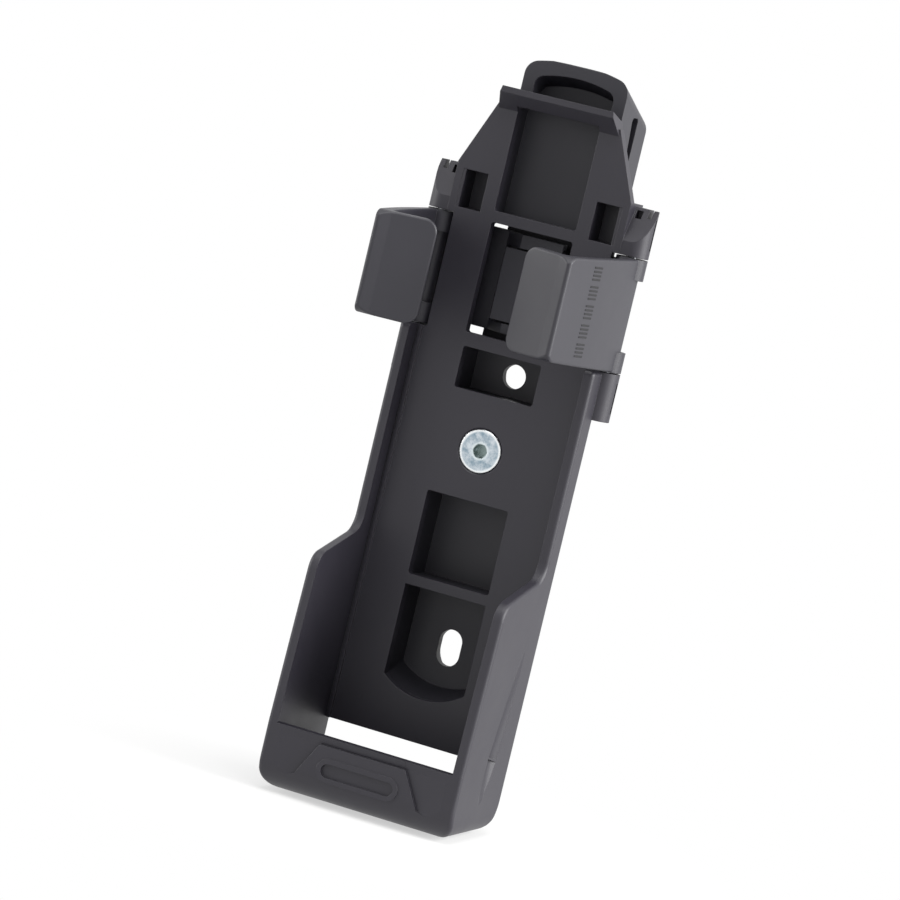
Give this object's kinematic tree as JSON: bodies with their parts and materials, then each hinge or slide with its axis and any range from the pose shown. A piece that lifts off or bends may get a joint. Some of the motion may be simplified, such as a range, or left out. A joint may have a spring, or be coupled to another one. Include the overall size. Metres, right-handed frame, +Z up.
{
  "type": "bike lock bracket",
  "caption": "Frame bracket for a folding bicycle lock: a rail bolted to the tube, an open pocket, and side clamps that close on the lock when it is pressed in.",
  "frame": {"origin": "upper frame-screw place, where its spacer ring meets the frame tube", "axes": "+Y points from the bracket back to the tube, +Z runs up along the tube, X is across"},
  "size_m": [0.0536, 0.0604, 0.1718],
  "materials": {
    "carrier_plastic": "fine matt moulded texture",
    "rail_plastic": "fine matt moulded texture",
    "clamp_plastic": "fine matt moulded texture",
    "pin_steel": "drawn steel",
    "screw_steel": "zinc plated",
    "pad_rubber": "soft matt"
  },
  "bodies": {
    "bracket": {"carrier": "carrier_plastic", "mounting_rail": "rail_plastic", "centre_screw": "screw_steel", "centre_nut": "screw_steel", "left_hinge_pin": "pin_steel", "right_hinge_pin": "pin_steel", "upper_tube_pad": "pad_rubber", "lower_tube_pad": "pad_rubber"},
    "left_clamp": {"left_clamp": "clamp_plastic"},
    "right_clamp": {"right_clamp": "clamp_plastic"}
  },
  "joints": [
    {"name": "left_clamp_hinge", "type": "hinge", "parent": "bracket", "child": "left_clamp", "pos_m": [-0.0232, -0.0173, 0.02025], "axis": [0, 0, -1], "range_deg": [0, 20]},
    {"name": "right_clamp_hinge", "type": "hinge", "parent": "bracket", "child": "right_clamp", "pos_m": [0.0232, -0.0173, 0.02025], "axis": [0, 0, 1], "range_deg": [0, 20]}
  ]
}
